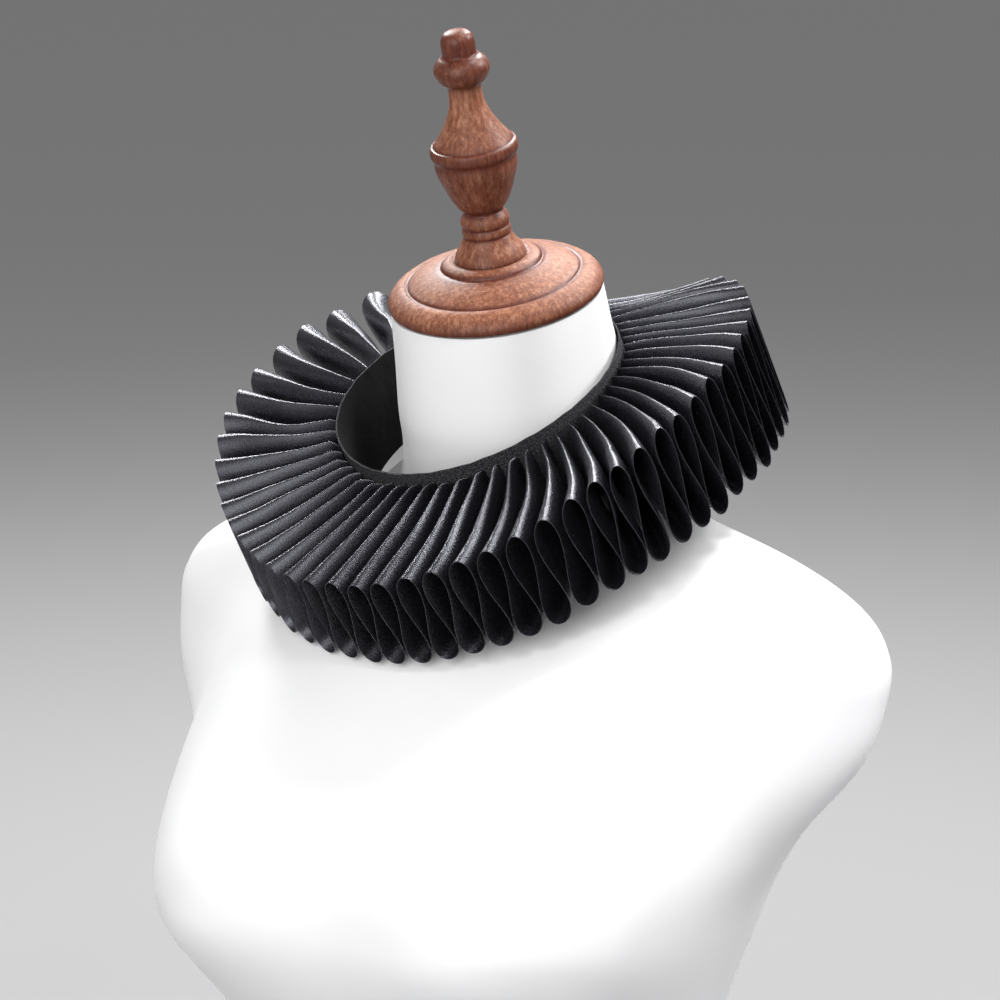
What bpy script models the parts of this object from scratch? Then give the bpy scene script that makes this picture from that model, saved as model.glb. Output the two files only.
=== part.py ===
"""Ruff collar of pleated satin ribbon, worn by a limbless dress form with a turned wooden cap.

Metres, +Z up. The origin is the middle of the form's flat underside, the form faces -Y
and its left side is towards +X.
"""

import math
from collections import namedtuple

import bmesh
import bpy
import numpy as np
from mathutils import Matrix, Vector

MM = 0.001
SEAM = 0.3 * MM
TURN = 2 * math.pi

# Dress form: one row for each level, from the underside to the top of the neck.
# centre_y and height place the ring, tilt leans it forward, half_width, front and back
# are the trunk's reach from that centre, arm_reach and arm_depth those of the arm stubs.
Level = namedtuple("Level", "height centre_y tilt half_width front back arm_reach arm_depth")
FORM_LEVELS = [
    Level(0, 0, 0, 136, 96, 94, 100, 40),
    Level(45, -4, 0, 129, 90, 88, 100, 40),
    Level(95, -10, 0, 121, 84, 80, 100, 40),
    Level(150, -16, 0, 130, 92, 88, 100, 40),
    Level(200, -18, 0, 144, 110, 97, 100, 40),
    Level(250, -10, 0, 159, 114, 109, 118, 44),
    Level(290, 2, 0, 166, 120, 114, 160, 50),
    Level(330, 15, 0, 164, 126, 106, 204, 55),
    Level(362, 24, 0, 158, 126, 98, 217, 57),
    Level(388, 29, 1, 148, 117, 92, 218, 55),
    Level(410, 32, 1.5, 131, 97, 86, 202, 51),
    Level(428, 33, 2.5, 104.5, 73.5, 79, 168, 45),
    Level(438, 33, 3.4, 87, 69, 75, 140, 38.5),
    Level(446, 32.5, 4.4, 76, 65, 72, 112, 36),
    Level(453, 32, 5.2, 70, 63.5, 69.5, 88, 34),
    Level(461, 31.3, 6.4, 66.5, 62.5, 67, 74, 33),
    Level(470, 30, 8.2, 63.5, 61.5, 65, 60, 33),
    Level(486, 26.5, 11.5, 61, 60, 61.5, 50, 32),
    Level(508, 20, 15, 60, 60, 60, 40, 30),
    Level(536, 11.4, 15.5, 57, 57, 56.5, 40, 30),
    Level(562.2, 3.9, 15.5, 55, 55, 55, 40, 30),
]
FORM_SIDES = 44
FORM_RINGS_BETWEEN = 2
TRUNK_ROUNDNESS, ARM_ROUNDNESS = 2.15, 2.0
ARM_BLEND = 7
BUST_OUT, BUST_RISE = 92, 258
BUST_DEPTH, BUST_SPREAD = 61, 64
BUST_SPREAD_UP, BUST_SPREAD_DOWN = 56, 38
BUST_FADE = 0.5

# Wooden cap and finial: radius and height above the cap's widest plane.
CAP_CENTRE = Vector((0, 3.0, 565.6)) * MM
CAP_LEAN = math.radians(15.5)
CAP_PROFILE = [
    (0, 19.6), (19, 19.6), (20.2, 20), (24.6, 19), (26.2, 17.6), (27, 16.6), (31, 15.6),
    (38, 13.2), (44.8, 9.6), (46.4, 8.2), (48, 8.6), (52.4, 6.8), (56, 3.6), (57.4, 0),
    (56.6, -2), (54, -3.2), (0, -3.2),
]
FINIAL_PROFILE = [
    (0, 145), (3.9, 144.6), (6.8, 143.3), (8.4, 141), (8.9, 138.2), (8.9, 131.6), (11.3, 130.2),
    (13.7, 127.5), (14.6, 124.3), (13.8, 121), (11.6, 117.5), (9, 115.6), (8.8, 111), (9.4, 105),
    (12.2, 97.4), (16.6, 89.9), (20.8, 84.2), (23.1, 80.4), (23, 77.8), (21.6, 76), (21.7, 72),
    (20.8, 67.5), (19.2, 63), (16.4, 55.6), (12.8, 49), (9.9, 45), (12.4, 42.4), (13, 39.8),
    (12.2, 37.4), (13, 34.6), (12.8, 32.4), (14.2, 29.6), (17.4, 24.6), (19, 19.9), (0, 19.9),
]
TURNED_SIDES = 40

# Ruff: the ring that the outer edge of the pleats lies on, and the neck band.
RUFF_CENTRE = Vector((-12, 7.5, 508.6)) * MM
RUFF_LEAN = math.radians(26.4)
RUFF_DROP_RIGHT = math.radians(7.2)
OUTER_RADIUS = 150.5 * MM
BAND_RADIUS = 80.6 * MM
PLEATS = 52
CLOTH = 1.0 * MM
BACK = math.radians(90)
RIBBON_START = math.radians(88)

# Height of the wavy edges above the ring's plane, and how the edge rides up over the shoulders.
OUTER_TOP, INNER_TOP = 0 * MM, 3.1 * MM
OUTER_LOOP, INNER_LOOP = 58.5 * MM, 49 * MM
LOOP_SWELL = 12 * MM
LOOP_SWELL_TOWARDS = math.radians(35)
SHOULDER_RISE, BAND_RISE = 14 * MM, 2 * MM
SHOULDER_RISE_TOWARDS = math.radians(-10)
BACK_DROOP, BACK_DROOP_REACH = 31 * MM, math.radians(48)
BACK_DROOP_MIDDLE = math.radians(93)

# Each pleat is a figure of eight: the wave leans back over itself by these shares of a pitch.
OUTER_LEAN, INNER_LEAN = 0.285, 0.11
LEAN_GROWTH, LOOP_GROWTH = 0.6, 0.5
SWIRL = math.radians(10.7)
SWIRL_SWING = math.radians(3.4)
SWIRL_TOWARDS = math.radians(17)
SPACING_SWING = math.radians(13.1)
SPACING_TOWARDS = math.radians(212)
SPACING_RIPPLE = math.radians(2.7)
SPACING_RIPPLE_TURN = math.radians(45)
POINTS_PER_PLEAT = 10
STRIPS = (0, 0.16, 0.5, 1)
END_GAP = 2.4 * MM

# Neck band
BAND_WALL = 1.4 * MM
BAND_ABOVE, BAND_HEIGHT = 3.6 * MM, 52.5 * MM
BAND_CLEARANCE = 0.7 * MM
BAND_SIDES = 72

# Hook and eye at the centre back: along runs round the band from the gap, off is how far
# the wire's middle stands off the band's inner face, and up is the height.
Bend = namedtuple("Bend", "along off up")
WIRE_RADIUS = 0.55 * MM
WIRE_OFF = WIRE_RADIUS + SEAM + 0.1 * MM
FASTENER_HEIGHT = -12 * MM
EYE_LEGS, EYE_REACH, EYE_WIDTH = 9 * MM, 1.8 * MM, 2.2 * MM
EYE_BENDS = 6
HOOK_BENDS = [
    Bend(10, 0.95, 0), Bend(7.2, 1.0, 0), Bend(5.6, 1.9, 0), Bend(4.4, 2.5, 0),
    Bend(1.6, 2.5, 0), Bend(0.5, 2.1, 0), Bend(0.1, 1.2, 0), Bend(0.1, 0.1, 0),
]


def clear_scene():
    for old in list(bpy.data.objects):
        bpy.data.objects.remove(old)


def collection(name):
    made = bpy.data.collections.new(name)
    bpy.context.scene.collection.children.link(made)
    return made


def material(name, colour, roughness, metallic=0.0):
    made = bpy.data.materials.new(name)
    made.use_nodes = True
    shader = made.node_tree.nodes["Principled BSDF"]
    shader.inputs["Base Color"].default_value = (*colour, 1)
    shader.inputs["Roughness"].default_value = roughness
    shader.inputs["Metallic"].default_value = metallic
    made.diffuse_color = (*colour, 1)
    return made


def add_object(name, mesh, finish, home, smooth_angle=None):
    made = bpy.data.objects.new(name, mesh)
    home.objects.link(made)
    mesh.materials.append(finish)
    if smooth_angle is not None:
        mesh.shade_smooth()
        mesh.set_sharp_from_angle(angle=math.radians(smooth_angle))
    return made


def hermite(rows, at):
    """Smooth values of every column of a table, whose first column is the place."""
    places = rows[:, 0]
    slopes = np.gradient(rows, places, axis=0)
    i = int(np.clip(np.searchsorted(places, at) - 1, 0, len(places) - 2))
    span = places[i + 1] - places[i]
    t = (at - places[i]) / span
    return (
        (2 * t**3 - 3 * t**2 + 1) * rows[i]
        + (t**3 - 2 * t**2 + t) * span * slopes[i]
        + (3 * t**2 - 2 * t**3) * rows[i + 1]
        + (t**3 - t**2) * span * slopes[i + 1]
    )


def oval_reach(angle, half_width, depth, roundness):
    across = abs(math.cos(angle) / half_width) ** roundness
    along = abs(math.sin(angle) / depth) ** roundness
    return (across + along) ** (-1 / roundness)


def bust_rise(x, height):
    """How far the chest stands forward of the plain trunk at this place."""
    spread = BUST_SPREAD_UP if height > BUST_RISE else BUST_SPREAD_DOWN
    rise = sum(
        math.exp(-(((x - side) / BUST_SPREAD) ** 2 + ((height - BUST_RISE) / spread) ** 2) / 2)
        for side in (-BUST_OUT, BUST_OUT)
    )
    return BUST_DEPTH * rise


def form_ring(level):
    """The points of one ring of the dress form, anticlockwise from its left side."""
    lean = Matrix.Rotation(math.radians(level.tilt), 3, "X")
    points = []
    for i in range(FORM_SIDES):
        angle = TURN * i / FORM_SIDES
        depth = level.back if math.sin(angle) >= 0 else level.front
        trunk = oval_reach(angle, level.half_width, depth, TRUNK_ROUNDNESS)
        arms = oval_reach(angle, level.arm_reach, level.arm_depth, ARM_ROUNDNESS)
        reach = (trunk**ARM_BLEND + arms**ARM_BLEND) ** (1 / ARM_BLEND)
        x, y = reach * math.cos(angle), reach * math.sin(angle)
        if y < 0:
            y -= bust_rise(x, level.height) * min(1, -y / (BUST_FADE * depth))
        spot = lean @ Vector((x, y, 0)) + Vector((0, level.centre_y, level.height))
        points.append(spot * MM)
    return points


def build_form(finish, home):
    table = np.array(FORM_LEVELS, float)
    heights = []
    for low, high in zip(table[:-1, 0], table[1:, 0]):
        heights += [low + (high - low) * k / FORM_RINGS_BETWEEN for k in range(FORM_RINGS_BETWEEN)]
    heights.append(table[-1, 0])
    mesh = bmesh.new()
    rings = [
        [mesh.verts.new(p) for p in form_ring(Level(*hermite(table, height)))]
        for height in heights
    ]
    for lower, upper in zip(rings[:-1], rings[1:]):
        for i in range(FORM_SIDES):
            j = (i + 1) % FORM_SIDES
            mesh.faces.new((lower[i], lower[j], upper[j], upper[i]))
    mesh.faces.new(rings[0][::-1])
    mesh.faces.new(rings[-1])
    data = bpy.data.meshes.new("dress_form_body")
    mesh.to_mesh(data)
    mesh.free()
    return add_object("dress_form_body", data, finish, home, smooth_angle=50)


def build_turned(name, profile, finish, home):
    """A turned piece: its profile, top to bottom, screwed about the cap's leaning axis."""
    data = bpy.data.meshes.new(name)
    points = [(radius * MM, 0, height * MM) for radius, height in profile]
    data.from_pydata(points, [(i, i + 1) for i in range(len(points) - 1)], [])
    made = add_object(name, data, finish, home, smooth_angle=40)
    made.matrix_world = Matrix.Translation(CAP_CENTRE) @ Matrix.Rotation(CAP_LEAN, 4, "X")
    screw = made.modifiers.new("turning", "SCREW")
    screw.steps = screw.render_steps = TURNED_SIDES
    screw.use_merge_vertices = True
    screw.merge_threshold = 1e-5
    screw.use_smooth_shade = True
    return made


def ruff_frame():
    """Places the ruff's own ring, whose normal is its +Z, on the form."""
    return (
        Matrix.Translation(RUFF_CENTRE)
        @ Matrix.Rotation(-RUFF_DROP_RIGHT, 4, "Y")
        @ Matrix.Rotation(RUFF_LEAN, 4, "X")
    )


def pleat_angle(turn):
    """Angle of the outer edge for a turn of 0 to 1 along the ribbon, closer set at the front."""
    plain = RIBBON_START + TURN * turn
    return (
        plain
        + SPACING_SWING * math.cos(plain - SPACING_TOWARDS)
        + SPACING_RIPPLE * math.cos(2 * plain + SPACING_RIPPLE_TURN)
    )


def blend(inner, outer, across):
    return inner + (outer - inner) * across


def edge_rise(angle, across):
    """How the edge rides up over both shoulders, and hangs where the ribbon's ends meet."""
    rise = blend(BAND_RISE, SHOULDER_RISE, across) * math.cos(2 * (angle - SHOULDER_RISE_TOWARDS))
    from_back = math.remainder(angle - BACK_DROOP_MIDDLE, TURN) / BACK_DROOP_REACH
    droop = BACK_DROOP * across * math.cos(math.pi / 2 * min(1, abs(from_back))) ** 2
    return rise - droop


def frill_point(pleat, across):
    """Middle of the cloth: pleat counts along the ribbon, across runs 0 to 1 from band to edge."""
    lean = blend(INNER_LEAN, OUTER_LEAN, across**LEAN_GROWTH)
    turn = (pleat + lean * math.sin(2 * TURN * pleat)) / PLEATS
    angle = pleat_angle(turn)
    swirl = SWIRL + SWIRL_SWING * math.cos(angle - SWIRL_TOWARDS)
    angle_here = angle + swirl * (1 - across)
    radius = blend(BAND_RADIUS, OUTER_RADIUS, across)
    outer_loop = OUTER_LOOP + LOOP_SWELL * math.cos(angle - LOOP_SWELL_TOWARDS)
    loop = blend(INNER_LOOP, outer_loop, across**LOOP_GROWTH)
    top = blend(INNER_TOP, OUTER_TOP, across) + edge_rise(angle_here, across)
    height = top - loop / 2 + (loop - CLOTH) / 2 * math.cos(TURN * pleat)
    return Vector((radius * math.cos(angle_here), radius * math.sin(angle_here), height))


def build_frill(finish, home):
    """One long ribbon in figure-eight pleats, open at the centre back."""
    steps = PLEATS * POINTS_PER_PLEAT
    points = [frill_point(i / POINTS_PER_PLEAT, s) for s in STRIPS for i in range(steps)]
    faces = [
        (row * steps + i, (row + 1) * steps + i, (row + 1) * steps + i + 1, row * steps + i + 1)
        for row in range(len(STRIPS) - 1)
        for i in range(steps - 1)
    ]
    data = bpy.data.meshes.new("pleated_frill")
    data.from_pydata(points, [], faces)
    made = add_object("pleated_frill", data, finish, home, smooth_angle=70)
    made.matrix_world = ruff_frame()
    wall = made.modifiers.new("cloth wall", "SOLIDIFY")
    wall.thickness = CLOTH
    wall.offset = 0
    return made


def band_angle(turn):
    """Angle round the band for a turn of 0 to 1, with a gap at the centre back."""
    gap = END_GAP / BAND_RADIUS
    return BACK + gap / 2 + (TURN - gap) * turn


def build_band(finish, home):
    """The upright strip that the pleats are sewn to, one strip of cloth that meets at the back."""
    radius = BAND_RADIUS - BAND_CLEARANCE - BAND_WALL / 2
    top = INNER_TOP + BAND_ABOVE
    heights = (top, top - BAND_HEIGHT)
    points = []
    for height in heights:
        for i in range(BAND_SIDES + 1):
            angle = band_angle(i / BAND_SIDES)
            rise = edge_rise(angle, 0)
            points.append((radius * math.cos(angle), radius * math.sin(angle), height + rise))
    row = BAND_SIDES + 1
    faces = [(i, i + 1, row + i + 1, row + i) for i in range(BAND_SIDES)]
    data = bpy.data.meshes.new("neck_band")
    data.from_pydata(points, [], faces)
    made = add_object("neck_band", data, finish, home, smooth_angle=60)
    made.matrix_world = ruff_frame()
    wall = made.modifiers.new("cloth wall", "SOLIDIFY")
    wall.thickness = BAND_WALL
    wall.offset = 0
    return made


def build_wire(name, bends, finish, home):
    """A bent wire on the band's inner face, from bends given in metres."""
    inner = BAND_RADIUS - BAND_CLEARANCE - BAND_WALL
    curve = bpy.data.curves.new(name, "CURVE")
    curve.dimensions = "3D"
    curve.bevel_depth = WIRE_RADIUS
    curve.bevel_resolution = 1
    curve.use_fill_caps = True
    spline = curve.splines.new("POLY")
    spline.points.add(len(bends) - 1)
    for point, bend in zip(spline.points, bends):
        angle = BACK - bend.along / inner
        reach = inner - bend.off
        height = FASTENER_HEIGHT + edge_rise(BACK, 0) + bend.up
        point.co = (reach * math.cos(angle), reach * math.sin(angle), height, 1)
    made = add_object(name, curve, finish, home)
    made.matrix_world = ruff_frame()
    return made


def build_fastening(finish, home):
    """The eye reaches over the gap between the band's ends, and the hook drops through it."""
    round_end = [math.pi * (0.5 - i / EYE_BENDS) for i in range(EYE_BENDS + 1)]
    eye = [Bend(-EYE_LEGS, WIRE_OFF, EYE_WIDTH)]
    for angle in round_end:
        along = EYE_REACH + EYE_WIDTH * math.cos(angle)
        eye.append(Bend(along, WIRE_OFF, EYE_WIDTH * math.sin(angle)))
    eye.append(Bend(-EYE_LEGS, WIRE_OFF, -EYE_WIDTH))
    hook = [Bend(b.along * MM, b.off * MM, b.up * MM) for b in HOOK_BENDS]
    build_wire("back_eye", eye, finish, home)
    build_wire("back_hook", hook, finish, home)


def main():
    clear_scene()
    home = collection("ruff_collar_on_dress_form")
    satin = material("black_satin", (0.012, 0.012, 0.016), 0.38)
    ribbon = material("black_grosgrain", (0.010, 0.010, 0.012), 0.75)
    white = material("white_form", (0.86, 0.86, 0.87), 0.45)
    wood = material("red_brown_wood", (0.30, 0.12, 0.06), 0.42)
    metal = material("blackened_wire", (0.05, 0.05, 0.055), 0.4, metallic=1.0)
    build_form(white, home)
    build_turned("neck_cap", CAP_PROFILE, wood, home)
    build_turned("finial", FINIAL_PROFILE, wood, home)
    build_band(ribbon, home)
    build_frill(satin, home)
    build_fastening(metal, home)


main()
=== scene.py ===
"""Looks of a ruff collar of pleated black satin ribbon on a limbless white dress form.

Metres, +Z up, in the frame of the solids: the origin is the middle of the form's underside,
the form faces -Y and its left side is towards +X.
"""

import math
from collections import namedtuple

import bpy
import numpy as np
from mathutils import Matrix, Vector


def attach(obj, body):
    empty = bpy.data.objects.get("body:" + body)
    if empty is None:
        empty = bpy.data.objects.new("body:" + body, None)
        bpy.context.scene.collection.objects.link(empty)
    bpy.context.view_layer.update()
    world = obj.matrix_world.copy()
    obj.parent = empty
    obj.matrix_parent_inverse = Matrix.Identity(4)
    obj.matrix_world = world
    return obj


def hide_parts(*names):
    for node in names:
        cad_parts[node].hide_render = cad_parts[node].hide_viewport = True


MM = 0.001
TURN = 2 * math.pi

# Camera: it looks at a point inside the neck, from the form's front left and a little above.
CAMERA_TARGET = Vector((-0.005, 0.015, 0.450))
CAMERA_AZIMUTH = math.radians(32.05)
CAMERA_ELEVATION = math.radians(11.98)
CAMERA_DISTANCE = 2.2
CAMERA_LENS = 148.1

# Soft lights: where each stands from the target, as azimuth, elevation and distance, its size
# in metres and its power in watts. The sun's size is an angle in degrees, and its power a strength.
Light = namedtuple("Light", "name kind azimuth elevation distance size power")
LIGHTS = [
    Light("left_softbox", "AREA", -38, 31, 2.2, 0.8, 3),
    Light("front_softbox", "AREA", 10, 16, 2.5, 2.0, 47),
    Light("key_softbox", "AREA", 50, 46, 2.0, 0.22, 6),
    Light("back_right_softbox", "AREA", 128, 42, 1.9, 0.5, 27),
    Light("back_softbox", "AREA", 188, 50, 1.9, 0.5, 42),
    Light("back_left_softbox", "AREA", 238, 42, 1.9, 0.5, 34),
    Light("sun", "SUN", 116, 65, 3, 9, 1.6),
]
WORLD_GREY, WORLD_STRENGTH = 0.9, 0.26
FLOOR_SIZE, FLOOR_DROP = 40, 0.4 * MM
FLOOR_COLOUR, FLOOR_ROUGHNESS = (0.22, 0.22, 0.223), 0.9

# Dress form: one row for each level, in millimetres and degrees, as in the solid.
Level = namedtuple("Level", "height centre_y tilt half_width front back arm_reach arm_depth")
FORM_LEVELS = [
    Level(0, 0, 0, 136, 96, 94, 100, 40),
    Level(45, -4, 0, 129, 90, 88, 100, 40),
    Level(95, -10, 0, 121, 84, 80, 100, 40),
    Level(150, -16, 0, 130, 92, 88, 100, 40),
    Level(200, -18, 0, 144, 110, 97, 100, 40),
    Level(250, -10, 0, 159, 114, 109, 118, 44),
    Level(290, 2, 0, 166, 120, 114, 160, 50),
    Level(330, 15, 0, 164, 126, 106, 204, 55),
    Level(362, 24, 0, 158, 126, 98, 217, 57),
    Level(388, 29, 1, 148, 117, 92, 218, 55),
    Level(410, 32, 1.5, 131, 97, 86, 202, 51),
    Level(428, 33, 2.5, 104.5, 73.5, 79, 168, 45),
    Level(438, 33, 3.4, 87, 69, 75, 140, 38.5),
    Level(446, 32.5, 4.4, 76, 65, 72, 112, 36),
    Level(453, 32, 5.2, 70, 63.5, 69.5, 88, 34),
    Level(461, 31.3, 6.4, 66.5, 62.5, 67, 74, 33),
    Level(470, 30, 8.2, 63.5, 61.5, 65, 60, 33),
    Level(486, 26.5, 11.5, 61, 60, 61.5, 50, 32),
    Level(508, 20, 15, 60, 60, 60, 40, 30),
    Level(536, 11.4, 15.5, 57, 57, 56.5, 40, 30),
    Level(562.2, 3.9, 15.5, 55, 55, 55, 40, 30),
]
FORM_SIDES, FORM_RINGS = 176, 200
TRUNK_ROUNDNESS, ARM_ROUNDNESS = 2.15, 2.0
ARM_BLEND = 7
BUST_OUT, BUST_RISE = 92, 258
BUST_DEPTH, BUST_SPREAD = 61, 64
BUST_SPREAD_UP, BUST_SPREAD_DOWN = 56, 38
BUST_FADE = 0.5
FORM_SHARP = math.radians(50)

# Turned wood: radius and height above the cap's widest plane, in millimetres, from the top
# down. Tone runs from 0, pale and rubbed, to 1, dark: the wood's own paler and darker parts, with
# painted shade in the grooves and under the rims.
Turned = namedtuple("Turned", "radius height tone")
CAP_CENTRE = Vector((0, 3.0, 565.6)) * MM
CAP_LEAN = math.radians(15.5)
CAP_PROFILE = [
    Turned(0, 19.6, 0.5), Turned(19, 19.6, 0.5), Turned(20.2, 20.0, 0.45),
    Turned(24.6, 19.0, 0.35), Turned(26.2, 17.8, 0.9), Turned(27.0, 16.6, 1.0),
    Turned(29.0, 16.2, 0.6), Turned(31, 15.6, 0.35), Turned(38, 13.2, 0.15),
    Turned(43.6, 10.2, 0.3), Turned(45.0, 9.3, 0.7), Turned(46.2, 8.2, 1.0),
    Turned(47.2, 8.5, 0.6), Turned(48.4, 8.5, 0.25), Turned(52.4, 6.8, 0.15),
    Turned(55.9, 3.7, 0.35), Turned(57.3, 0.3, 0.7), Turned(56.7, -1.9, 0.9),
    Turned(54, -3.15, 1.0), Turned(0, -3.15, 1.0),
]
FINIAL_PROFILE = [
    Turned(0, 145, 0.75), Turned(3.9, 144.6, 0.8), Turned(6.8, 143.3, 0.85),
    Turned(8.4, 141, 0.9), Turned(8.9, 138.2, 0.95), Turned(8.9, 134.8, 0.95),
    Turned(8.9, 132.1, 1.0), Turned(9.5, 131.4, 1.0), Turned(11.5, 130, 0.9),
    Turned(13.7, 127.4, 0.85), Turned(14.6, 124.3, 0.85), Turned(13.8, 121, 0.8),
    Turned(11.6, 117.5, 0.85), Turned(9.2, 115.8, 0.8), Turned(8.8, 111, 0.35),
    Turned(9.4, 105, 0.2), Turned(12.2, 97.4, 0.3), Turned(16.6, 89.9, 0.45),
    Turned(20.4, 85, 0.7), Turned(21.2, 83.8, 1.0), Turned(22.2, 83.4, 0.85),
    Turned(23.1, 80.7, 0.85), Turned(22.9, 78.3, 0.95), Turned(21.7, 76.3, 1.0),
    Turned(21.7, 72, 0.75), Turned(20.8, 67.5, 0.7), Turned(19.2, 63, 0.7),
    Turned(16.4, 55.6, 0.7), Turned(12.8, 49, 0.8), Turned(10.2, 45.8, 1.0),
    Turned(11.6, 44.0, 0.7), Turned(12.9, 41.2, 0.5), Turned(12.7, 38.9, 0.7),
    Turned(12.1, 37.6, 1.0), Turned(12.8, 36.2, 0.6), Turned(12.9, 34.0, 0.6),
    Turned(12.4, 32.4, 1.0), Turned(12.9, 31.6, 0.6), Turned(14.2, 29.0, 0.4),
    Turned(17.4, 24.0, 0.4), Turned(18.8, 20.7, 0.7), Turned(19, 19.95, 0.9),
    Turned(0, 19.95, 0.9),
]
TURNED_SIDES = 128
TURNED_STEPS = 6
TURNED_SHARP = math.radians(48)

# Ruff: the ring that the outer edge of the pleats lies on, as in the solid.
RUFF_CENTRE = Vector((-12, 7.5, 508.6)) * MM
RUFF_LEAN = math.radians(26.4)
RUFF_DROP_RIGHT = math.radians(7.2)
OUTER_RADIUS = 150.5 * MM
BAND_RADIUS = 80.6 * MM
PLEATS = 52
BACK = math.radians(90)
RIBBON_START = math.radians(88)
OUTER_TOP, INNER_TOP = 0 * MM, 3.1 * MM
OUTER_LOOP, INNER_LOOP = 58.5 * MM, 49 * MM
LOOP_SWELL = 12 * MM
LOOP_SWELL_TOWARDS = math.radians(35)
SHOULDER_RISE, BAND_RISE = 14 * MM, 2 * MM
SHOULDER_RISE_TOWARDS = math.radians(-10)
BACK_DROOP, BACK_DROOP_REACH = 31 * MM, math.radians(48)
BACK_DROOP_MIDDLE = math.radians(93)
OUTER_LEAN = 0.285
LEAN_GROWTH, LOOP_GROWTH = 0.6, 0.5
SWIRL = math.radians(10.7)
SWIRL_SWING = math.radians(3.4)
SWIRL_TOWARDS = math.radians(17)
SPACING_SWING = math.radians(13.1)
SPACING_TOWARDS = math.radians(212)
SPACING_RIPPLE = math.radians(2.7)
SPACING_RIPPLE_TURN = math.radians(45)

# Ribbon as it is seen: a thin satin, with a pressed crease along the top of every pleat.
RIBBON_MAP = "ribbon"
RIBBON_WIDTH, RIBBON_LENGTH = 75 * MM, 6.2
RIBBON_THICK = 0.3 * MM
RIBBON_END = 51.9
POINTS_PER_PLEAT = 40
CREST_CLOSENESS = 0.75
INNER_CREST, OUTER_CREST, CREST_ROUND = 1.45, 1.95, 0.05
INNER_LEAN_LOOKS = 0.2
INNER_FOOT_WIDENS, OUTER_FOOT_WIDENS = 0.65, 0.17
ACROSS_ROWS = (
    0, 0.015, 0.034, 0.058, 0.088, 0.125, 0.175, 0.235, 0.3, 0.375, 0.45, 0.53, 0.61, 0.69, 0.77,
    0.85, 0.93, 1,
)
CLOTH_SHARP = math.radians(60)

# How real cloth strays from even pleats: size is in pleats, or in metres for a bob up and down,
# and reach is how many folds it takes to change.
Wander = namedtuple("Wander", "size reach")
WANDER_SEED = 11
SAG, CURL, TWIST, FLARE = Wander(0.08, 3), Wander(0.04, 2), Wander(0.03, 2), Wander(0.06, 2)
TWIST_WAVES = 1.5
KINK = Wander(0.02, 1)
KINK_MIDDLE, KINK_STRAY, KINK_WIDTH = 0.55, 0.3, 0.08
BOB_MIDDLE, BOB_EDGE = Wander(0.8 * MM, 1), Wander(0.7 * MM, 1)

# The crests' inner ends bend aside and down where they are sewn to the front of the band.
HOOK_REACH, HOOK_TURN, HOOK_DROP = 0.085, 0.6, 4 * MM
HOOK_SIZES = (0.3, 1.3)
HOOKS_TOWARDS = math.radians(258)

# Neck band, with a slightly wavy upper edge.
BAND_WALL = 0.9 * MM
BAND_ABOVE, BAND_HEIGHT = 3.6 * MM, 52.5 * MM
BAND_CLEARANCE = 0.7 * MM
BAND_GAP = 2.4 * MM
BAND_SIDES, BAND_ROWS = 360, 12
EDGE_WAVE, EDGE_WAVES = 0.12 * MM, (23, 41)

# Finishes. A pattern's scale is its cells to a metre, along and across a ribbon or along X, Y
# and Z. A span turns a pattern's values from low to high into values from to_low to to_high.
# A relief is a bump's strength and its depth.
Pattern = namedtuple("Pattern", "scale detail roughness")
Span = namedtuple("Span", "low high to_low to_high")
Relief = namedtuple("Relief", "strength depth")
Stop = namedtuple("Stop", "place colour")

SATIN_GRAIN = Pattern((560, 1500, 1), 3, 0.7)
SATIN_PUCKERS = Pattern((90, 55, 1), 2, 0.5)
SATIN_ROUGHNESS = Span(0.36, 0.66, 0.44, 0.17)
SATIN_TONES = [Stop(0.3, (0.002, 0.002, 0.0028)), Stop(0.7, (0.004, 0.004, 0.006))]
SATIN_GRAIN_RELIEF, SATIN_PUCKER_RELIEF = Relief(0.9, 0.25 * MM), Relief(0.22, 0.6 * MM)
SATIN_LUSTRE_TINT, SATIN_SHEEN_TINT = (0.88, 0.88, 1, 1), (0.7, 0.7, 0.9, 1)

CORDED_RIBS = Pattern((900, 90, 1), 1, 0.5)
CORDED_MOTTLE = Pattern((900, 900, 1), 3, 0.7)
CORDED_ROUGHNESS = Span(0.35, 0.7, 0.9, 0.6)
# Band colours: the darker inside is painted shade of the inner face, and the outside's lighter grey
# mottle is partly painted sheen on the cloth's own mottle.
CORDED_INSIDE_PAINTED_SHADE = [Stop(0.4, (0.002, 0.002, 0.0025)), Stop(0.7, (0.006, 0.006, 0.007))]
CORDED_OUTSIDE_MOTTLE_AND_SHEEN = [Stop(0.4, (0.008, 0.008, 0.009)), Stop(0.66, (0.075, 0.075, 0.08))]
CORDED_RIB_RELIEF, CORDED_MOTTLE_RELIEF = Relief(0.5, 0.3 * MM), Relief(0.6, 0.3 * MM)

FORM_CLOUDS = Pattern((9, 9, 9), 2, 0.5)
FORM_SPECKS = Pattern((700, 700, 700), 1, 0.5)
FORM_ROUGHNESS = Span(0.3, 0.7, 0.36, 0.46)
FORM_TONES = [Stop(0.3, (0.885, 0.885, 0.895)), Stop(0.7, (0.91, 0.91, 0.91))]
FORM_RELIEF = Relief(0.05, 0.1 * MM)

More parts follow.
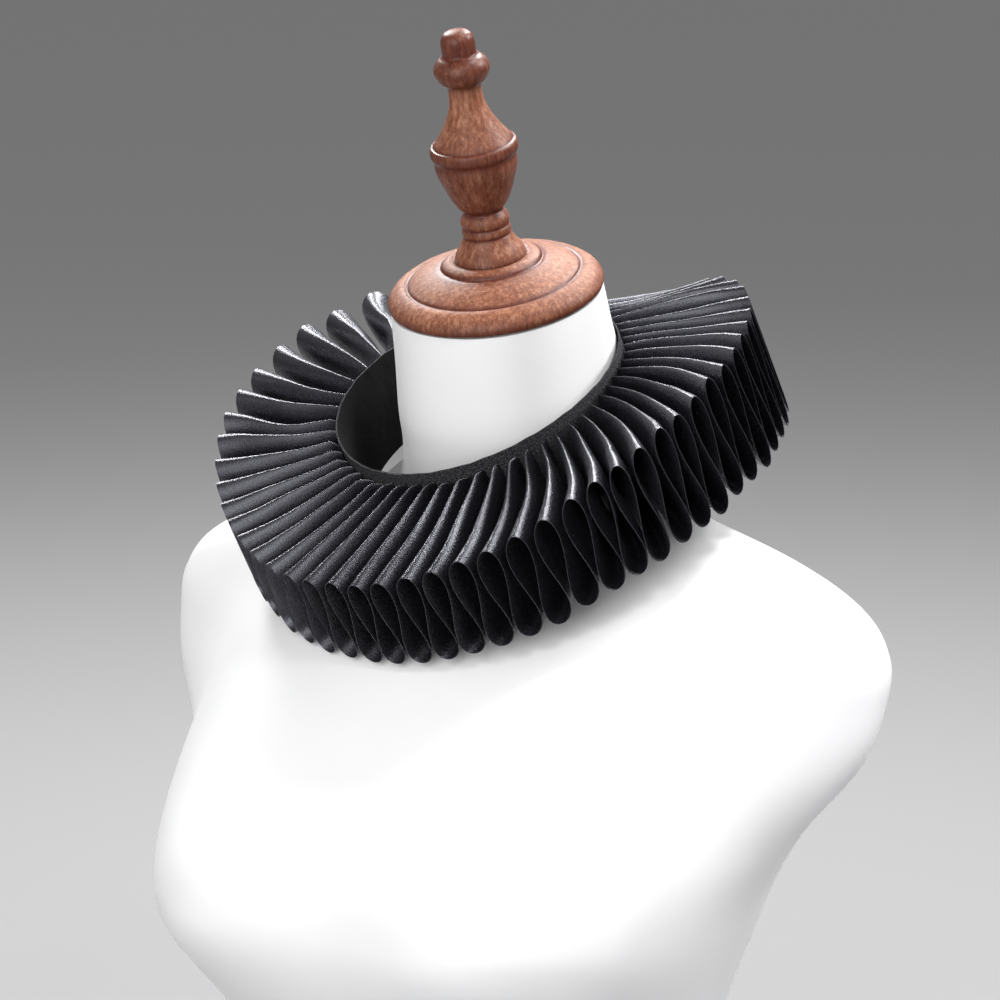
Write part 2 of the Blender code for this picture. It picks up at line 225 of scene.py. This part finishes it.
WOOD_PORES = Pattern((420, 420, 60), 3, 0.7)
WOOD_FLECKS = Pattern((1100, 1100, 260), 2, 0.6)
WOOD_CLOUDS = Pattern((24, 24, 12), 3, 0.5)
WOOD_PALE = [
    Stop(0.34, (0.19, 0.058, 0.028)),
    Stop(0.52, (0.31, 0.118, 0.060)),
    Stop(0.68, (0.48, 0.235, 0.138)),
]
# Colours for tone 1: the dark varnished parts, and the painted shade in grooves and under rims.
WOOD_DARK_AND_SHADE = [
    Stop(0.36, (0.075, 0.015, 0.008)),
    Stop(0.55, (0.105, 0.024, 0.013)),
    Stop(0.70, (0.14, 0.036, 0.020)),
]
WOOD_RUBBED = (0.6, 0.37, 0.26, 1)
WOOD_ROUGHNESS = Span(0, 1, 0.62, 0.37)
WOOD_CLOUDING = Span(0.35, 0.65, 0.0, 0.3)
WOOD_WEAR, WOOD_WEAR_BY_TONE = Span(0.56, 0.74, 0.0, 0.4), Span(0, 1, 1.0, 0.15)
WOOD_FLECK_RELIEF, WOOD_PORE_RELIEF = Relief(0.2, 0.2 * MM), Relief(0.15, 0.3 * MM)

WIRE_SPECKS = Pattern((900, 900, 900), 3, 0.5)
WIRE_ROUGHNESS = Span(0.3, 0.7, 0.28, 0.5)

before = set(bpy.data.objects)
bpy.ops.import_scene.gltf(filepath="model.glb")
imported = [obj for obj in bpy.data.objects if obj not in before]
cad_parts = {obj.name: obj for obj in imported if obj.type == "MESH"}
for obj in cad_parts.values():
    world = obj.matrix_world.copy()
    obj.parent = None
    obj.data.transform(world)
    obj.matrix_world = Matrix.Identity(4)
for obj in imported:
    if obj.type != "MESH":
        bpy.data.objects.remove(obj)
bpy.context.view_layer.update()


def hermite(rows, at):
    """Smooth values of every column of a table at many places, given by its first column."""
    places = rows[:, 0]
    slopes = np.gradient(rows, places, axis=0)
    i = np.clip(np.searchsorted(places, at) - 1, 0, len(places) - 2)
    span = (places[i + 1] - places[i])[:, None]
    t = (at - places[i])[:, None] / span
    return (
        (2 * t**3 - 3 * t**2 + 1) * rows[i]
        + (t**3 - 2 * t**2 + t) * span * slopes[i]
        + (3 * t**2 - 2 * t**3) * rows[i + 1]
        + (t**3 - t**2) * span * slopes[i + 1]
    )


def blend(inner, outer, across):
    return inner + (outer - inner) * across


def point_rows(x, y, z):
    """Points, row by row, from coordinates that each vary along a row, down it or both."""
    return np.stack(np.broadcast_arrays(x, y, z), axis=-1)


def grid_faces(rows, columns, wraps=False):
    """Quads between points that are listed row by row."""
    first = np.arange(rows - 1)[:, None] * columns
    step = np.arange(columns if wraps else columns - 1)[None, :]
    after = (step + 1) % columns
    corners = (first + step, first + after, first + columns + after, first + columns + step)
    return np.stack(corners, axis=-1).reshape(-1, 4).tolist()


def mesh_piece(name, points, faces, finish, node):
    """A smooth mesh on the one body, which stands for a node of the solids."""
    mesh = bpy.data.meshes.new(name)
    mesh.from_pydata(points.tolist(), [], faces)
    mesh.shade_smooth()
    mesh.materials.append(finish)
    made = bpy.data.objects.new(name, mesh)
    bpy.context.scene.collection.objects.link(made)
    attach(made, "root")
    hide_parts(node)
    return made


def point_values(made, name, values):
    attribute = made.data.attributes.new(name, "FLOAT", "POINT")
    attribute.data.foreach_set("value", np.asarray(values, np.float32).ravel())


class Finish:
    """A material with a Principled shader, and short ways to add and join its nodes."""

    def __init__(self, name, colour, roughness):
        self.material = bpy.data.materials.new(name)
        self.material.use_nodes = True
        self.tree = self.material.node_tree
        self.shader = self.tree.nodes["Principled BSDF"]
        self.set("Base Color", (*colour, 1))
        self.set("Roughness", roughness)

    def set(self, socket, value):
        self.shader.inputs[socket].default_value = value

    def drive(self, socket, output):
        self.tree.links.new(output, self.shader.inputs[socket])

    def node(self, kind, inputs=(), **settings):
        made = self.tree.nodes.new("ShaderNode" + kind)
        for name, value in settings.items():
            setattr(made, name, value)
        for name, value in dict(inputs).items():
            if isinstance(value, bpy.types.NodeSocket):
                self.tree.links.new(value, made.inputs[name])
            else:
                made.inputs[name].default_value = value
        return made

    def noise(self, place, pattern):
        scaled = self.node("Mapping", {"Vector": place, "Scale": pattern.scale}).outputs[0]
        grain = {"Scale": 1, "Detail": pattern.detail, "Roughness": pattern.roughness}
        return self.node("TexNoise", {"Vector": scaled, **grain}).outputs["Fac"]

    def cloth_noise(self, pattern):
        """Noise that follows the ribbon's own map."""
        return self.noise(self.node("UVMap", uv_map=RIBBON_MAP).outputs[0], pattern)

    def solid_noise(self, pattern, turn=(0, 0, 0), start=(0, 0, 0)):
        """Noise through the solid, in a frame at start turned by turn."""
        place = self.node("TexCoord").outputs["Object"]
        origin = {"Vector": place, "Location": start, "Rotation": turn}
        return self.noise(self.node("Mapping", origin, vector_type="TEXTURE").outputs[0], pattern)

    def attribute(self, name):
        return self.node("Attribute", attribute_name=name).outputs["Fac"]

    def remap(self, value, span):
        limits = {
            "From Min": span.low, "From Max": span.high, "To Min": span.to_low, "To Max": span.to_high,
        }
        return self.node("MapRange", {"Value": value, **limits}).outputs[0]

    def ramp(self, value, stops):
        made = self.node("ValToRGB", {"Fac": value})
        elements = made.color_ramp.elements
        while len(elements) < len(stops):
            elements.new(0.5)
        for element, stop in zip(elements, stops):
            element.position = stop.place
            element.color = (*stop.colour, 1)
        return made.outputs[0]

    def product(self, first, second):
        return self.node("Math", {0: first, 1: second}, operation="MULTIPLY").outputs[0]

    def mix(self, share, first, second):
        """Two colours mixed. A Mix node takes its colours at sockets 6 and 7 and gives one at 2."""
        return self.node("Mix", {0: share, 6: first, 7: second}, data_type="RGBA").outputs[2]

    def bump(self, height, relief, under=None):
        inputs = {"Height": height, "Strength": relief.strength, "Distance": relief.depth}
        if under is not None:
            inputs["Normal"] = under
        return self.node("Bump", inputs).outputs[0]


def satin_finish():
    """Black satin: short threads along the ribbon, a grainy lustre and a faint blue."""
    satin = Finish("black_satin", (0.004, 0.004, 0.0055), 0.4)
    satin.set("Specular IOR Level", 1.0)
    satin.set("Specular Tint", SATIN_LUSTRE_TINT)
    satin.set("Sheen Weight", 0.04)
    satin.set("Sheen Roughness", 0.4)
    satin.set("Sheen Tint", SATIN_SHEEN_TINT)
    grain = satin.cloth_noise(SATIN_GRAIN)
    puckers = satin.cloth_noise(SATIN_PUCKERS)
    satin.drive("Base Color", satin.ramp(puckers, SATIN_TONES))
    satin.drive("Roughness", satin.remap(grain, SATIN_ROUGHNESS))
    soft = satin.bump(puckers, SATIN_PUCKER_RELIEF)
    satin.drive("Normal", satin.bump(grain, SATIN_GRAIN_RELIEF, soft))
    return satin.material


def corded_finish():
    """Black corded ribbon of the band: dull, with close upright ribs, a darker inside that is painted
    shade, and a mottled grey outside that is partly painted sheen.
    """
    corded = Finish("black_corded_ribbon", (0.006, 0.006, 0.007), 0.8)
    corded.set("Specular IOR Level", 0.15)
    ribs = corded.cloth_noise(CORDED_RIBS)
    mottle = corded.cloth_noise(CORDED_MOTTLE)
    # The inner face takes a darker colour as painted shade; the outer face's grey mottle is partly
    # painted sheen.
    shaded_inside = corded.ramp(ribs, CORDED_INSIDE_PAINTED_SHADE)
    outside = corded.ramp(mottle, CORDED_OUTSIDE_MOTTLE_AND_SHEEN)
    corded.drive("Base Color", corded.mix(corded.attribute("outside"), shaded_inside, outside))
    corded.drive("Roughness", corded.remap(mottle, CORDED_ROUGHNESS))
    ribbed = corded.bump(ribs, CORDED_RIB_RELIEF)
    corded.drive("Normal", corded.bump(mottle, CORDED_MOTTLE_RELIEF, ribbed))
    return corded.material


def form_finish():
    """Smooth satin-white shell, with hardly seen unevenness."""
    white = Finish("white_form", (0.9, 0.9, 0.905), 0.4)
    white.set("Specular IOR Level", 0.35)
    clouds = white.solid_noise(FORM_CLOUDS)
    white.drive("Base Color", white.ramp(clouds, FORM_TONES))
    white.drive("Roughness", white.remap(clouds, FORM_ROUGHNESS))
    white.drive("Normal", white.bump(white.solid_noise(FORM_SPECKS), FORM_RELIEF))
    return white.material


def wood_finish():
    """Red-brown varnished wood: pores along the grain, rubbed pale flecks, and dark grooves and
    undersides that are painted shade.
    """
    wood = Finish("turned_wood", (0.25, 0.10, 0.05), 0.36)
    wood.set("Specular IOR Level", 0.3)
    pores, flecks, clouds = (
        wood.solid_noise(pattern, (CAP_LEAN, 0, 0), CAP_CENTRE)
        for pattern in (WOOD_PORES, WOOD_FLECKS, WOOD_CLOUDS)
    )
    # The tone attribute mixes the pale and dark colours: the wood's own tones, with painted shade in
    # grooves and under rims.
    tone = wood.attribute("tone")
    dark = wood.ramp(pores, WOOD_DARK_AND_SHADE)
    body = wood.mix(tone, wood.ramp(pores, WOOD_PALE), dark)
    shaded = wood.mix(wood.remap(clouds, WOOD_CLOUDING), body, dark)
    worn = wood.product(wood.remap(flecks, WOOD_WEAR), wood.remap(tone, WOOD_WEAR_BY_TONE))
    wood.drive("Base Color", wood.mix(worn, shaded, WOOD_RUBBED))
    wood.drive("Roughness", wood.remap(tone, WOOD_ROUGHNESS))
    pitted = wood.bump(pores, WOOD_PORE_RELIEF)
    wood.drive("Normal", wood.bump(flecks, WOOD_FLECK_RELIEF, pitted))
    return wood.material


def wire_finish():
    wire = Finish("blackened_wire", (0.05, 0.05, 0.055), 0.38)
    wire.set("Metallic", 1.0)
    wire.drive("Roughness", wire.remap(wire.solid_noise(WIRE_SPECKS), WIRE_ROUGHNESS))
    return wire.material


def form_points():
    """Rings of the dress form from the underside to the top of the neck."""
    table = np.array(FORM_LEVELS, float)
    heights = np.linspace(table[0, 0], table[-1, 0], FORM_RINGS)
    level = Level(*hermite(table, heights).T[:, :, None])
    angle = (TURN * np.arange(FORM_SIDES) / FORM_SIDES)[None, :]
    depth = np.where(np.sin(angle) >= 0, level.back, level.front)

    def oval(half_width, oval_depth, roundness):
        across = np.abs(np.cos(angle) / half_width) ** roundness
        along = np.abs(np.sin(angle) / oval_depth) ** roundness
        return (across + along) ** (-1 / roundness)

    trunk = oval(level.half_width, depth, TRUNK_ROUNDNESS)
    arms = oval(level.arm_reach, level.arm_depth, ARM_ROUNDNESS)
    reach = (trunk**ARM_BLEND + arms**ARM_BLEND) ** (1 / ARM_BLEND)
    x, y = reach * np.cos(angle), reach * np.sin(angle)
    spread = np.where(level.height > BUST_RISE, BUST_SPREAD_UP, BUST_SPREAD_DOWN)
    rise = sum(
        np.exp(-(((x - side) / BUST_SPREAD) ** 2 + ((level.height - BUST_RISE) / spread) ** 2) / 2)
        for side in (-BUST_OUT, BUST_OUT)
    )
    y = np.where(y < 0, y - BUST_DEPTH * rise * np.minimum(1, -y / (BUST_FADE * depth)), y)
    tilt = np.radians(level.tilt)
    spots = point_rows(x, y * np.cos(tilt) + level.centre_y, y * np.sin(tilt) + level.height)
    return spots.reshape(-1, 3) * MM


def build_form(finish):
    faces = grid_faces(FORM_RINGS, FORM_SIDES, wraps=True)
    faces.append(list(range(FORM_SIDES))[::-1])
    faces.append(list(range((FORM_RINGS - 1) * FORM_SIDES, FORM_RINGS * FORM_SIDES)))
    made = mesh_piece("white_form_shell", form_points(), faces, finish, "dress_form_body")
    made.data.set_sharp_from_angle(angle=FORM_SHARP)


def smooth_profile(profile):
    """The turned outline with extra points on a smooth curve, straight over its flat ends."""
    rows = np.array(profile, float)
    steps = np.hypot(*np.diff(rows[:, :2], axis=0).T)
    places = np.concatenate([[0], np.cumsum(steps)])
    at = [0.0]
    for start, end in zip(places[:-1], places[1:]):
        at += [start + (end - start) * k / TURNED_STEPS for k in range(1, TURNED_STEPS + 1)]
    at = np.array(at)
    smooth = hermite(np.column_stack([places, rows]), at)[:, 1:]
    smooth[:, 0] = np.maximum(smooth[:, 0], 0)
    flat = at >= places[-2]
    if profile[0].height == profile[1].height:
        flat |= at < places[1]
    straight = np.stack([np.interp(at, places, column) for column in rows.T], axis=1)
    smooth[flat] = straight[flat]
    return smooth


def build_turned(name, profile, finish, node):
    """A turned piece about the cap's leaning axis, closed at both ends on the axis."""
    outline = smooth_profile(profile)[1:-1]
    angle = (TURN * np.arange(TURNED_SIDES) / TURNED_SIDES)[None, :]
    radius, height, tone = outline.T[:, :, None]
    points = point_rows(radius * np.cos(angle), radius * np.sin(angle), height).reshape(-1, 3) * MM
    place = np.array(Matrix.Translation(CAP_CENTRE) @ Matrix.Rotation(CAP_LEAN, 4, "X"))
    points = points @ place[:3, :3].T + place[:3, 3]
    faces = [face[::-1] for face in grid_faces(len(outline), TURNED_SIDES, wraps=True)]
    faces.append(list(range(TURNED_SIDES)))
    last = (len(outline) - 1) * TURNED_SIDES
    faces.append(list(range(last, last + TURNED_SIDES))[::-1])
    made = mesh_piece(name, points, faces, finish, node)
    made.data.set_sharp_from_angle(angle=TURNED_SHARP)
    # Each point keeps the tone of its profile row, which holds painted shade in the grooves and under
    # the rims.
    point_values(made, "tone", np.repeat(tone, TURNED_SIDES))


def ruff_frame():
    """Places the ruff's own ring, whose normal is its +Z, on the form."""
    return (
        Matrix.Translation(RUFF_CENTRE)
        @ Matrix.Rotation(-RUFF_DROP_RIGHT, 4, "Y")
        @ Matrix.Rotation(RUFF_LEAN, 4, "X")
    )


def in_ruff_frame(points):
    place = np.array(ruff_frame())
    return points.reshape(-1, 3) @ place[:3, :3].T + place[:3, 3]


def pleat_angle(turn):
    """Angle of the outer edge for a turn of 0 to 1 along the ribbon, closer set at the front."""
    plain = RIBBON_START + TURN * turn
    return (
        plain
        + SPACING_SWING * np.cos(plain - SPACING_TOWARDS)
        + SPACING_RIPPLE * np.cos(2 * plain + SPACING_RIPPLE_TURN)
    )


def edge_rise(angle, across):
    """How the edge rides up over both shoulders, and hangs where the ribbon's ends meet."""
    rise = blend(BAND_RISE, SHOULDER_RISE, across) * np.cos(2 * (angle - SHOULDER_RISE_TOWARDS))
    from_back = np.abs((angle - BACK_DROOP_MIDDLE + math.pi) % TURN - math.pi) / BACK_DROOP_REACH
    droop = BACK_DROOP * across * np.cos(math.pi / 2 * np.minimum(1, from_back)) ** 2
    return rise - droop


def slow_values(chance, count, reach):
    """Seeded values that change slowly from one to the next, of spread 1."""
    margin = 3 * reach
    raw = chance.normal(size=count + 2 * margin)
    window = np.hanning(2 * reach + 3)[1:-1]
    values = np.convolve(raw, window / np.sqrt((window**2).sum()), "same")
    return values[margin : margin + count]


def per_fold(pleat, values):
    """Carries one value for each half pleat smoothly along the ribbon."""
    place = np.clip(pleat * 2, 0, len(values) - 1)
    low = np.minimum(place.astype(int), len(values) - 2)
    share = (1 - np.cos(math.pi * (place - low))) / 2
    return values[low] * (1 - share) + values[low + 1] * share


def fold_wave(pleat, across):
    """From 1 at a crest, which is pressed sharper towards the band, to -1 at a rounded foot."""
    power = blend(INNER_CREST, OUTER_CREST, across)
    swing = np.hypot(np.sin(math.pi * pleat), CREST_ROUND) ** power
    low, high = CREST_ROUND**power, math.hypot(1, CREST_ROUND) ** power
    return 1 - 2 * (swing - low) / (high - low)


def frill_points():
    """The ribbon's middle: the solid's figure-eight pleats, with the wander of real cloth."""
    count = int(round(RIBBON_END * POINTS_PER_PLEAT)) + 1
    even = np.linspace(0, RIBBON_END, count)
    pleat = (even - CREST_CLOSENESS * np.sin(2 * TURN * even) / (2 * TURN))[None, :]
    across = np.array(ACROSS_ROWS)[:, None]
    chance = np.random.default_rng(WANDER_SEED)
    folds = 2 * PLEATS + 1

    def stray(wander):
        return wander.size * per_fold(pleat, slow_values(chance, folds, wander.reach))

    aside = stray(SAG) * np.sin(math.pi * across)
    aside = aside + stray(CURL) * np.sin(TURN * across)
    aside = aside + stray(TWIST) * np.sin(TWIST_WAVES * TURN * across)
    aside = aside + stray(FLARE) * across**3
    kink_place = KINK_MIDDLE + per_fold(pleat, chance.uniform(-KINK_STRAY, KINK_STRAY, folds))
    aside = aside + stray(KINK) * np.exp(-(((across - kink_place) / KINK_WIDTH) ** 2))

    phase = TURN * pleat
    crest = (1 + np.cos(phase)) / 2
    hook_size = per_fold(pleat, chance.uniform(*HOOK_SIZES, folds))
    hook_near = np.clip(np.cos(pleat_angle(pleat / PLEATS) - HOOKS_TOWARDS), 0, 1)
    hook = hook_size * hook_near * np.clip(1 - across / HOOK_REACH, 0, 1) ** 2 * crest**2
    foot_widens = blend(INNER_FOOT_WIDENS, OUTER_FOOT_WIDENS, across)
    plain_lean = blend(INNER_LEAN_LOOKS, OUTER_LEAN, across**LEAN_GROWTH)
    lean = plain_lean * (1 - foot_widens * np.cos(phase))
    turn = (pleat + lean * np.sin(2 * phase) + aside + HOOK_TURN * hook) / PLEATS
    angle = pleat_angle(turn)
    swirl = SWIRL + SWIRL_SWING * np.cos(angle - SWIRL_TOWARDS)
    angle_here = angle + swirl * (1 - across)
    radius = blend(BAND_RADIUS, OUTER_RADIUS, across)
    outer_loop = OUTER_LOOP + LOOP_SWELL * np.cos(angle - LOOP_SWELL_TOWARDS)
    loop = blend(INNER_LOOP, outer_loop, across**LOOP_GROWTH)
    top = blend(INNER_TOP, OUTER_TOP, across) + edge_rise(angle_here, across)

    bob = stray(BOB_MIDDLE) * np.sin(math.pi * across) + stray(BOB_EDGE) * across
    height = top - loop / 2 + (loop - RIBBON_THICK) / 2 * fold_wave(pleat, across) + bob
    height = height - HOOK_DROP * hook
    points = point_rows(radius * np.cos(angle_here), radius * np.sin(angle_here), height)
    return points, pleat, across


def ribbon_map(made, columns, rows, along, across):
    """Lays the cloth's own lengths, in metres, on the mesh as the map that the weave follows."""
    layer = made.data.uv_layers.new(name=RIBBON_MAP)
    u = np.broadcast_to(along, (rows, columns)).ravel()
    v = np.broadcast_to(across, (rows, columns)).ravel()
    corner = np.empty(len(made.data.loops), np.int32)
    made.data.loops.foreach_get("vertex_index", corner)
    layer.data.foreach_set("uv", np.stack([u[corner], v[corner]], axis=1).astype(np.float32).ravel())


def thicken(made, thickness):
    """Gives a cloth sheet its two faces and a square-cut rim."""
    wall = made.modifiers.new("cloth wall", "SOLIDIFY")
    wall.thickness = thickness
    wall.offset = 0
    bpy.context.view_layer.update()
    graph = bpy.context.evaluated_depsgraph_get()
    sheet = made.data
    made.data = bpy.data.meshes.new_from_object(made.evaluated_get(graph), depsgraph=graph)
    made.modifiers.clear()
    bpy.data.meshes.remove(sheet)
    made.data.name = made.name
    made.data.set_sharp_from_angle(angle=CLOTH_SHARP)


def build_frill(finish):
    points, pleat, across = frill_points()
    rows, columns = points.shape[:2]
    faces = [face[::-1] for face in grid_faces(rows, columns)]
    spots = in_ruff_frame(points)
    made = mesh_piece("satin_frill", spots, faces, finish, "pleated_frill")
    ribbon_map(made, columns, rows, pleat * (RIBBON_LENGTH / PLEATS), across * RIBBON_WIDTH)
    thicken(made, RIBBON_THICK)


def build_band(finish):
    """The upright strip that the pleats are sewn to, meeting at the centre back."""
    radius = BAND_RADIUS - BAND_CLEARANCE - BAND_WALL / 2
    gap = BAND_GAP / BAND_RADIUS
    angle = (BACK + gap / 2 + (TURN - gap) * np.linspace(0, 1, BAND_SIDES + 1))[None, :]
    down = np.linspace(0, 1, BAND_ROWS + 1)[:, None]
    slow, quick = EDGE_WAVES
    edge_wave = EDGE_WAVE * (np.sin(slow * angle) + np.sin(quick * angle + 1)) * (1 - down)
    height = INNER_TOP + BAND_ABOVE + edge_rise(angle, 0) - BAND_HEIGHT * down + edge_wave
    spots = in_ruff_frame(point_rows(radius * np.cos(angle), radius * np.sin(angle), height))
    faces = [face[::-1] for face in grid_faces(BAND_ROWS + 1, BAND_SIDES + 1)]
    made = mesh_piece("neck_band_cloth", spots, faces, finish, "neck_band")
    ribbon_map(made, BAND_SIDES + 1, BAND_ROWS + 1, angle * radius, down * BAND_HEIGHT)
    thicken(made, BAND_WALL)
    # Marks the outer face, so that the inner face gets the darker colour of painted shade.
    to_ruff = ruff_frame().inverted()
    outside = [(to_ruff @ spot.co).xy.length > radius for spot in made.data.vertices]
    point_values(made, "outside", outside)


def finish_wires(finish):
    for name in ("back_hook", "back_eye"):
        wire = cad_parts[name]
        wire.data.materials.clear()
        wire.data.materials.append(finish)


def looking(eye, target):
    return (target - eye).to_track_quat("-Z", "Y")


def place_from(target, azimuth, elevation, distance):
    back = Vector((
        math.sin(azimuth) * math.cos(elevation),
        -math.cos(azimuth) * math.cos(elevation),
        math.sin(elevation),
    ))
    return target + back * distance


def aimed_object(name, data, azimuth, elevation, distance):
    """A camera or a light that stands off from the target and looks at it."""
    made = bpy.data.objects.new(name, data)
    bpy.context.scene.collection.objects.link(made)
    made.location = place_from(CAMERA_TARGET, azimuth, elevation, distance)
    made.rotation_mode = "QUATERNION"
    made.rotation_quaternion = looking(made.location, CAMERA_TARGET)
    return made


def build_camera():
    data = bpy.data.cameras.new("camera")
    data.lens = CAMERA_LENS
    bpy.context.scene.camera = aimed_object(
        "camera", data, CAMERA_AZIMUTH, CAMERA_ELEVATION, CAMERA_DISTANCE
    )


def build_lights():
    for light in LIGHTS:
        data = bpy.data.lights.new(light.name, light.kind)
        data.energy = light.power
        if light.kind == "SUN":
            data.angle = math.radians(light.size)
        else:
            data.size = light.size
        azimuth, elevation = math.radians(light.azimuth), math.radians(light.elevation)
        aimed_object(light.name, data, azimuth, elevation, light.distance)


def build_world():
    world = bpy.data.worlds.new("soft room")
    bpy.context.scene.world = world
    world.use_nodes = True
    background = world.node_tree.nodes["Background"]
    background.inputs["Color"].default_value = (WORLD_GREY, WORLD_GREY, WORLD_GREY, 1)
    background.inputs["Strength"].default_value = WORLD_STRENGTH


def build_floor():
    half = FLOOR_SIZE / 2
    corners = [(-half, -half), (half, -half), (half, half), (-half, half)]
    mesh = bpy.data.meshes.new("floor")
    mesh.from_pydata([(x, y, -FLOOR_DROP) for x, y in corners], [], [(0, 1, 2, 3)])
    floor = bpy.data.objects.new("floor", mesh)
    bpy.context.scene.collection.objects.link(floor)
    mesh.materials.append(Finish("pale_floor", FLOOR_COLOUR, FLOOR_ROUGHNESS).material)


bpy.context.scene.view_settings.view_transform = "Standard"
build_camera()
build_lights()
build_world()
build_floor()
wood = wood_finish()
build_form(form_finish())
build_turned("turned_neck_cap", CAP_PROFILE, wood, "neck_cap")
build_turned("turned_finial", FINIAL_PROFILE, wood, "finial")
build_band(corded_finish())
build_frill(satin_finish())
finish_wires(wire_finish())
